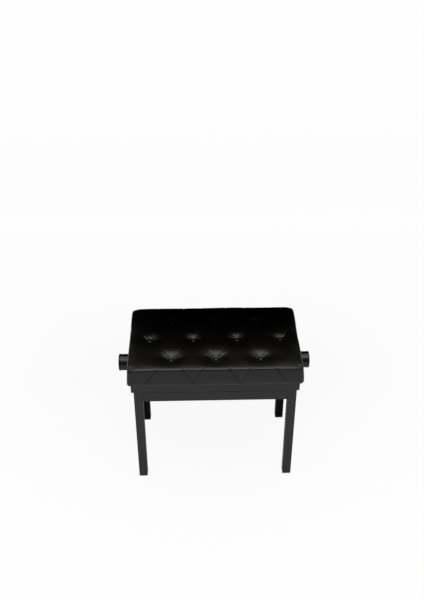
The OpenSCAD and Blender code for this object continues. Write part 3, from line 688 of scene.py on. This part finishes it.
# %% [markdown]
# ## Pressing the foam
# Wells and valleys press straight into the surface, not straight down, so that they also work on
# the cushion's sides. That needs the plain form's normals. The hem keeps its place, and the
# whole cover starts a little proud, as it is filled with foam.

# %% Press the foam
FOAM_SWELL = 0.0008
HEM_REACH = 0.010


def normals_of(points, faces):
    """One outward normal a point, from the quads round it."""
    quads = np.array(faces)
    across = np.cross(points[quads[:, 2]] - points[quads[:, 0]],
                      points[quads[:, 3]] - points[quads[:, 1]])
    total = np.zeros_like(points)
    for k in range(4):
        np.add.at(total, quads[:, k], across)
    return total / np.linalg.norm(total, axis=1)[:, None]


def pressed_foam():
    """The foam's points, and for each how far it lies above the hem, from 0 to 1."""
    points = form_points.copy()
    on_top = np.clip((points[:, 2] - (TOP_Z - EDGE_R)) / EDGE_R, 0, 1)
    points[:, 2] += crown_height(points[:, 0], points[:, 1]) * on_top - corner_drop(points)
    normal = normals_of(points, form_faces)
    valleys = pleat_depth(form_flat, INNER_VALLEY, OUTER_VALLEY, VALLEY_HALF, VALLEY_POWER)
    inward = np.maximum(well_depth(form_flat), valleys)
    above_hem = np.clip((form_points[:, 2] - BASE_Z) / HEM_REACH, 0, 1)
    inward = (inward - FOAM_SWELL + soft_waves(form_flat)) * above_hem
    return points - normal * inward[:, None], above_hem


def new_piece(name, points, faces, material, smooth=True):
    mesh = bpy.data.meshes.new(name)
    mesh.from_pydata([tuple(p) for p in points], [], faces)
    for polygon in mesh.polygons:
        polygon.use_smooth = smooth
    mesh.materials.append(material)
    made = bpy.data.objects.new(name, mesh)
    bpy.context.scene.collection.objects.link(made)
    return made


foam_points, above_hem = pressed_foam()
cushion = new_piece("tufted_cushion", foam_points, form_faces, cover)
unfolded = cushion.data.attributes.new("unfolded", "FLOAT_VECTOR", "POINT")
unfolded.data.foreach_set("vector", np.column_stack([form_flat, above_hem]).ravel())
print("foam pressed, top at", round(foam_points[:, 2].max(), 4))

# %% [markdown]
# ## Cloth
# The cover is stretched over the foam, and the foam pushes back. Blender's cloth gives that: a
# little pressure from inside, and pins where the cover can't move, which are the hem, the
# buttons and the lines of the pleats. It runs for a few steps only, and no point may move
# further than a few millimetres, so that the tufting keeps its places.

# %% Cloth
CLOTH_STEPS = 16
CLOTH_REACH = 0.0030
EDGE_HOLD = 0.8           # 1 can't move at all
PLEAT_HOLD = 0.85
PLEAT_HOLD_HALF = 0.003
BUTTON_HOLD_R = 0.014
BUTTON_HOLD_FADE = 0.003
LEAST_HOLD = 0.02
CLOTH = {
    "quality": 6, "mass": 0.25, "tension_stiffness": 12, "compression_stiffness": 12,
    "shear_stiffness": 6, "bending_stiffness": 0.6, "use_pressure": True,
    "uniform_pressure_force": 3.0, "vertex_group_mass": "held",
}


def held_points():
    """How firmly each point is held: 1 at hem and buttons, less on the pleats."""
    held = np.where(above_hem < 0.5, 1.0, 0.0)
    for x, y in buttons_at:
        r = np.hypot(form_flat[:, 0] - x, form_flat[:, 1] - y)
        held = np.maximum(held, np.clip((BUTTON_HOLD_R - r) / BUTTON_HOLD_FADE, 0, 1))
    inset = np.min(HALF - np.abs(form_points[:, :2]), axis=1)
    on_edge = (inset < RIM_IN) & (form_points[:, 2] > TOP_Z - 1.5 * EDGE_R)
    held = np.maximum(held, np.where(on_edge, EDGE_HOLD, 0.0))
    on_pleat = pleat_depth(form_flat, inner=1.0, outer=1.2, half=PLEAT_HOLD_HALF, power=2.0)
    return np.maximum(held, PLEAT_HOLD * on_pleat)


def settle(piece):
    """Runs the cloth on a piece and keeps the settled shape, within CLOTH_REACH."""
    group = piece.vertex_groups.new(name="held")
    for index, weight in enumerate(held_points()):
        if weight > LEAST_HOLD:
            group.add([index], float(weight), "REPLACE")
    cloth = piece.modifiers.new("cloth", "CLOTH")
    for key, value in CLOTH.items():
        setattr(cloth.settings, key, value)
    cloth.settings.effector_weights.gravity = 0
    scene = bpy.context.scene
    for step in range(1, CLOTH_STEPS + 1):
        scene.frame_set(step)
    settled = piece.evaluated_get(bpy.context.evaluated_depsgraph_get()).data
    after = np.empty(3 * len(settled.vertices))
    settled.vertices.foreach_get("co", after)
    moved = after.reshape(-1, 3) - foam_points
    size = np.linalg.norm(moved, axis=1)
    moved *= (np.minimum(size, CLOTH_REACH) / np.maximum(size, 1e-9))[:, None]
    piece.modifiers.remove(cloth)
    piece.vertex_groups.remove(group)
    scene.frame_set(1)
    piece.data.vertices.foreach_set("co", (foam_points + moved).ravel())
    piece.data.update()
    print("cloth moved the cover by up to", round(1000 * size.max(), 2), "mm, mean",
          round(1000 * size.mean(), 2), "mm")


settle(cushion)

# %% [markdown]
# ## Tension folds
# From each button short folds run out like rays, where the drawn cover gathers. Their angles,
# lengths and depths are uneven, from a seeded chance, so that they come out the same each time.
# They are stronger to the sides than to the front and back.

# %% Tension folds
FOLDS = 15                # round each button
FOLD_JITTER = 0.3         # of the angle between two folds
FOLD_DEPTH = 0.0013
FOLD_LEAST = 0.3          # of the depth is left straight ahead
FOLD_SHORTEST, FOLD_LONGEST = 0.026, 0.044
FOLD_HALF = 0.0012        # half its width at the button,
FOLD_WIDENS = 0.045       # and how fast it widens from there
FOLD_START = 0.009
FOLD_START_RUN = 0.004
FOLD_FADE = 0.016
chance = np.random.default_rng(7)


def tension_folds(flat):
    """Narrow valleys that point at the buttons, at uneven angles and of uneven length."""
    total = np.zeros(len(flat))
    for x, y in buttons_at:
        rel = flat - np.array([x, y])
        for k in range(FOLDS):
            at = 2 * math.pi * (k + chance.uniform(-FOLD_JITTER, FOLD_JITTER)) / FOLDS
            reach = chance.uniform(FOLD_SHORTEST, FOLD_LONGEST)
            sideways = FOLD_LEAST + (1 - FOLD_LEAST) * abs(math.cos(at))
            depth = chance.uniform(0.4, 1.0) * FOLD_DEPTH * sideways
            along = rel[:, 0] * math.cos(at) + rel[:, 1] * math.sin(at)
            off = rel[:, 1] * math.cos(at) - rel[:, 0] * math.sin(at)
            wide = FOLD_HALF + FOLD_WIDENS * np.maximum(along, 0)
            start = np.clip((along - FOLD_START) / FOLD_START_RUN, 0, 1)
            fade = np.clip((reach - along) / FOLD_FADE, 0, 1)
            total += depth * start * fade * np.exp(-(off / wide) ** 2)
    return total


# %% [markdown]
# ## Creases
# The pleats' sharp creases and the tension folds are only a millimetre or two wide, finer than
# the cloth's mesh. So the mesh is subdivided once, which also smooths it, the strips along the
# pleats are cut finer still, and the folds are pressed in afterwards. The unfolded places were
# stored on the points, so they are still known.

# %% Finer mesh
FINE_STRIP = 0.0045


def subdivide(piece):
    """Replaces a piece's mesh by the same mesh subdivided once."""
    finer = piece.modifiers.new("finer", "SUBSURF")
    finer.levels = 1
    seen = piece.evaluated_get(bpy.context.evaluated_depsgraph_get())
    mesh = bpy.data.meshes.new_from_object(seen)
    piece.modifiers.clear()
    piece.data = mesh


def vectors_of(collection, key):
    """A vector of every point or normal in a collection, as rows of an array."""
    values = np.empty(3 * len(collection))
    collection.foreach_get(key, values)
    return values.reshape(-1, 3)


def refine_pleats(piece):
    """Halves the mesh's cells in a narrow strip along every pleat."""
    flat = vectors_of(piece.data.attributes["unfolded"].data, "vector")
    off = [along_pleat(flat[:, :2], *pleat)[0] for pleat in inner_pleats() + edge_pleats()]
    near = (np.min(off, axis=0) < FINE_STRIP) & (flat[:, 2] > 0)
    shell = bmesh.new()
    shell.from_mesh(piece.data)
    edges = [edge for edge in shell.edges if all(near[vert.index] for vert in edge.verts)]
    bmesh.ops.subdivide_edges(shell, edges=edges, cuts=1, use_grid_fill=True)
    shell.to_mesh(piece.data)
    shell.free()


subdivide(cushion)
refine_pleats(cushion)
print("cushion:", len(cushion.data.vertices), "points")

# %% Press the creases
INNER_CREASE = 0.0013
OUTER_CREASE = 0.0019
CREASE_HALF = 0.0013
CREASE_POWER = 1.5

mesh = cushion.data
points = vectors_of(mesh.vertices, "co")
unfolded = vectors_of(mesh.attributes["unfolded"].data, "vector")
creases = pleat_depth(unfolded[:, :2], INNER_CREASE, OUTER_CREASE, CREASE_HALF, CREASE_POWER)
inward = (creases + tension_folds(unfolded[:, :2])) * unfolded[:, 2]
points -= vectors_of(mesh.vertex_normals, "vector") * inward[:, None]
mesh.vertices.foreach_set("co", points.ravel())
mesh.update()
print("deepest crease or fold:", round(1000 * inward.max(), 1), "mm")

# %% [markdown]
# ## Under the seat
# The cover ends at the board's edge, and the foam has a pocket that the board sits in. The
# open border is extruded twice, to the board's outline and up to its top, and then closed.

# %% Close the cushion
CLEAR = 0.0004
board_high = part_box("seat_board")[1]


def close_over_board(piece):
    """Leads the open border in to the board's outline, up to its top, and closes it."""
    shell = bmesh.new()
    shell.from_mesh(piece.data)
    inner = np.array([board_high.x, board_high.y]) + CLEAR
    for z in (BASE_Z, board_high.z + CLEAR):
        border = [edge for edge in shell.edges if edge.is_boundary]
        grown = bmesh.ops.extrude_edge_only(shell, edges=border)["geom"]
        for vert in (part for part in grown if isinstance(part, bmesh.types.BMVert)):
            x, y = vert.co.x, vert.co.y
            share = max(abs(x) / inner[0], abs(y) / inner[1])
            if share < 1:
                x, y = x / share, y / share
            vert.co = (*np.clip((x, y), -inner, inner), z)
    border = [edge for edge in shell.edges if edge.is_boundary]
    bmesh.ops.edgeloop_fill(shell, edges=border)
    shell.to_mesh(piece.data)
    shell.free()


close_over_board(cushion)
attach(cushion, "seat")
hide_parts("cushion")

# %% [markdown]
# ## Buttons
# A button is a steel dome with leatherette drawn over it and gathered behind. Its rim is round
# where the cover turns under, and its face is a shallow dome, so each one is a turned profile.

# %% Buttons
BUTTON_H = last_button.z - button_z
BUTTON_RIM = 0.0015
BUTTON_BACK = 0.55
BUTTON_STEPS = 40
DOME_RINGS = 12
DOME_TIP_R = 0.0003


def turned(profile, steps, place):
    """A solid of revolution about +Z from (radius, height) pairs, standing at place."""
    points, faces = [], []
    for radius, height in profile:
        for k in range(steps):
            turn = 2 * math.pi * k / steps
            points.append((place[0] + radius * math.cos(turn),
                           place[1] + radius * math.sin(turn), place[2] + height))
    rings = [list(range(j * steps, (j + 1) * steps)) for j in range(len(profile))]
    for ring, above in zip(rings, rings[1:]):
        faces += band(above, ring)
    return points, faces + [tuple(reversed(rings[0])), tuple(rings[-1])]


def button_profile():
    """A flat back, a round rim and a shallow dome, as pairs of radius and height."""
    made = [(BUTTON_R * BUTTON_BACK, 0.0), (BUTTON_R - BUTTON_RIM, 0.0)]
    for i in range(1, 4):
        turn = math.radians(30 * i)
        made.append((BUTTON_R - BUTTON_RIM * (1 - math.sin(turn)),
                     BUTTON_RIM * (1 - math.cos(turn))))
    dome = BUTTON_H - BUTTON_RIM
    ball = (BUTTON_R ** 2 + dome ** 2) / (2 * dome)
    for i in range(DOME_RINGS - 1, 0, -1):
        r = BUTTON_R * i / DOME_RINGS
        made.append((r, BUTTON_H - ball + math.sqrt(ball ** 2 - r ** 2)))
    return made + [(DOME_TIP_R, BUTTON_H)]


def all_buttons():
    """The points and faces of the ten buttons as one piece."""
    points, faces = [], []
    for x, y in buttons_at:
        more_points, more_faces = turned(button_profile(), BUTTON_STEPS, (x, y, button_z))
        shift = len(points)
        points += more_points
        faces += [tuple(i + shift for i in face) for face in more_faces]
    return points, faces


buttons = new_piece("covered_buttons", *all_buttons(), button_cover)
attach(buttons, "seat")
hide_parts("buttons")
print("each button:", round(2000 * BUTTON_R), "mm wide,", round(1000 * BUTTON_H, 1), "mm high")

# %% [markdown]
# ## Lead screw
# One long screw crosses the bench under the seat. Its trapezoidal thread is cut from a plain
# rod: flat crests as wide as the rod, flat roots between them, and slanted flanks. A helix is
# a row of rings in which every ring is turned a little further, so the thread needs no
# boolean. The ends stay plain where they turn in the bushings and hold the knobs.

# %% Lead screw
THREAD_PITCH = 0.003
THREAD_DEPTH = 0.0016
CREST_SHARE = 0.36        # of the pitch is crest, and as much is root
FLANK_SHARE = 0.28        # of half a pitch is flank
THREAD_INSET = 0.020      # from the collars' outer ends to the thread
END_CHAMFER = 0.001
RING_STEPS = 24
STATIONS_PER_TURN = 12
screw_low, screw_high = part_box("lead_screw")
SCREW_R = (screw_high.z - screw_low.z) / 2
SCREW_Z = (screw_high.z + screw_low.z) / 2
THREAD_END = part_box("thrust_collars")[1].x - THREAD_INSET


def thread_cut(turn):
    """How deep the thread is at a place in its pitch, from 0 to 1."""
    place = abs(2 * (turn % 1.0) - 1)
    return min(max((place - CREST_SHARE) / FLANK_SHARE, 0.0), 1.0)


def screw_stations():
    """Places along the screw that get a ring: close in the thread, few at the plain ends."""
    step = THREAD_PITCH / STATIONS_PER_TURN
    count = round(2 * THREAD_END / step)
    thread = [-THREAD_END + i * step for i in range(count + 1)]
    left, right = screw_low.x, screw_high.x
    return [left, left + END_CHAMFER] + thread + [right - END_CHAMFER, right]


def lead_screw_form():
    """Rings along the screw, each point set in by the thread's depth at its turn."""
    points, faces, ring = [], [], None
    stations = screw_stations()
    for x in stations:
        at_end = x in (stations[0], stations[-1])
        fade = min(max((THREAD_END - abs(x)) / THREAD_PITCH, 0.0), 1.0)
        start = len(points)
        for k in range(RING_STEPS):
            turn = k / RING_STEPS
            radius = SCREW_R - THREAD_DEPTH * fade * thread_cut(x / THREAD_PITCH + turn)
            radius -= END_CHAMFER if at_end else 0.0
            angle = 2 * math.pi * turn
            points.append((x, radius * math.cos(angle), SCREW_Z + radius * math.sin(angle)))
        new = list(range(start, len(points)))
        faces += band(new, ring) if ring else [tuple(new)]
        ring = new
    return points, faces + [tuple(reversed(ring))]


lead_screw = new_piece("threaded_lead_screw", *lead_screw_form(), zinc)
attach(lead_screw, "screw_drive")
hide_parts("lead_screw")
print("lead screw:", round(2 * THREAD_END / THREAD_PITCH), "turns of thread")

# %% [markdown]
# ## Floor
# The floor is white and runs out of sight. Seen directly it should be plain white, and lit paint
# alone would turn grey, so most of what the camera sees of it is a glow of strength 1. Mirrors
# see mostly the paint, and the rest of the paint keeps the bench's soft shadow.

# %% Floor
FLOOR_R = 60.0
FLOOR_SEEN = 0.93
FLOOR_MIRRORED = 0.15

floor_finish = Finish("floor_white", Roughness=0.9)
floor_finish.colour((0.82, 0.82, 0.82, 1))
rays = floor_finish.node("ShaderNodeLightPath")
seen = (rays.also("Is Camera Ray") * FLOOR_SEEN + rays.also("Is Glossy Ray") * FLOOR_MIRRORED
        + rays.also("Is Transmission Ray") * FLOOR_MIRRORED)
glow = floor_finish.node("ShaderNodeEmission", None, {"Color": (1, 1, 1, 1), "Strength": 1.0})
lit = Wire(floor_finish, floor_finish.shader.outputs[0])
mixed = floor_finish.node("ShaderNodeMixShader", None, {0: seen, 1: lit, 2: glow})
floor_finish.feed(floor_finish.tree.nodes["Material Output"].inputs["Surface"], mixed)


def stage_sheet(name, left, right, near, far, material):
    """A flat sheet between a near and a far edge, each given by its y and z."""
    corners = [(left, *near), (right, *near), (right, *far), (left, *far)]
    made = new_piece(name, corners, [(0, 1, 2, 3)], material, smooth=False)
    return made


stage_sheet("floor", -FLOOR_R, FLOOR_R, (-FLOOR_R, 0), (FLOOR_R, 0), floor_finish.material)

# %% [markdown]
# ## Flags and cards
# Most of the bench's black is seen as reflection: its fronts mirror the floor before it, and its
# seat mirrors what stands behind. In a studio, dark flags are hung where a reflection should
# stay black. Here four hang above and behind the seat. Two small grey cards lie before the rear
# legs and show only in reflections. They are a painted shadow on the floor under the bench, so the
# rear legs' fronts mirror darker. The camera sees none of them.

# %% Flags and cards
flag_finish = Finish("flag_black", Roughness=1.0, IOR=1.0)
flag_finish.colour((0.001, 0.001, 0.001, 1))
# The grey of a painted shadow on the floor under the bench, seen only in reflections.
painted_shadow_finish = Finish("painted_floor_shadow_grey", Roughness=1.0, IOR=1.0)
painted_shadow_finish.colour((0.15, 0.15, 0.15, 1))
FLAGS = (("canopy", -0.30, 0.32, (-0.02, 0.66), (0.17, 0.66)),
         ("wide_canopy", -0.65, 0.65, (0.17, 0.66), (0.60, 0.66)),
         ("low_flag", -0.65, 0.65, (0.60, 0.45), (0.60, 0.66)),
         ("far_flag", -2.4, 2.4, (1.60, 0.60), (1.60, 2.00)))
# Painted shadow: grey sheets that cast no shadow and take no light. Only reflections show them, as
# the floor's shade before the rear legs.
PAINTED_SHADOW_SHEETS = (("left_floor_flag", -0.32, -0.228, (-0.13, 0.003), (0.12, 0.003)),
         ("right_floor_flag", 0.228, 0.34, (-0.13, 0.003), (0.12, 0.003)))

for sheet in FLAGS:
    stage_sheet(*sheet, flag_finish.material).visible_camera = False
for sheet in PAINTED_SHADOW_SHEETS:
    card = stage_sheet(*sheet, painted_shadow_finish.material)
    card.visible_camera = False
    card.visible_shadow = False
    card.visible_diffuse = False
print("stage: floor,", len(FLAGS), "flags,", len(PAINTED_SHADOW_SHEETS), "cards")

# %% [markdown]
# ## World and lamps
# The camera sees a white world. Everything else sees a dim one that is darker at the horizon
# than overhead, as in a room with a pale ceiling. Two wide, soft suns light the bench from
# above, the second one a little from the front, and give the shine behind each button.

# %% World
SKY_LOW, SKY_HIGH = 0.12, 0.5             # heights between which the glow grows
HORIZON_GLOW, ZENITH_GLOW = 0.06, 0.32
world = bpy.data.worlds.new("studio")
bpy.context.scene.world = world
world.use_nodes = True
sky = Network(world.node_tree)
up = sky.node("ShaderNodeSeparateXYZ", None, {0: sky.node("ShaderNodeTexCoord")}, "Z")
dim = sky.node("ShaderNodeMapRange", {"clamp": True, "interpolation_type": "SMOOTHSTEP"},
               {0: up, 1: SKY_LOW, 2: SKY_HIGH, 3: HORIZON_GLOW, 4: ZENITH_GLOW})
unseen = sky.node("ShaderNodeBackground", None, {"Color": (1, 1, 1, 1), "Strength": dim})
white = sky.node("ShaderNodeBackground", None, {"Color": (1, 1, 1, 1), "Strength": 1.0})
rays = sky.node("ShaderNodeLightPath")
either = sky.node("ShaderNodeMixShader", None, {0: rays.also("Is Camera Ray"), 1: unseen, 2: white})
sky.feed(sky.tree.nodes["World Output"].inputs["Surface"], either)


# %% Lamps
def soft_sun(name, tilt, spread, strength):
    """A sun from above. A positive tilt, in degrees, moves it towards the front."""
    data = bpy.data.lights.new(name, "SUN")
    data.angle = math.radians(spread)
    data.energy = strength
    lamp = bpy.data.objects.new(name, data)
    lamp.rotation_euler.x = math.radians(tilt)
    bpy.context.scene.collection.objects.link(lamp)
    print(name, "spread", spread, "strength", strength)


soft_sun("overhead", tilt=-5, spread=66, strength=1.92)
soft_sun("overhead_front", tilt=20, spread=40, strength=0.53)
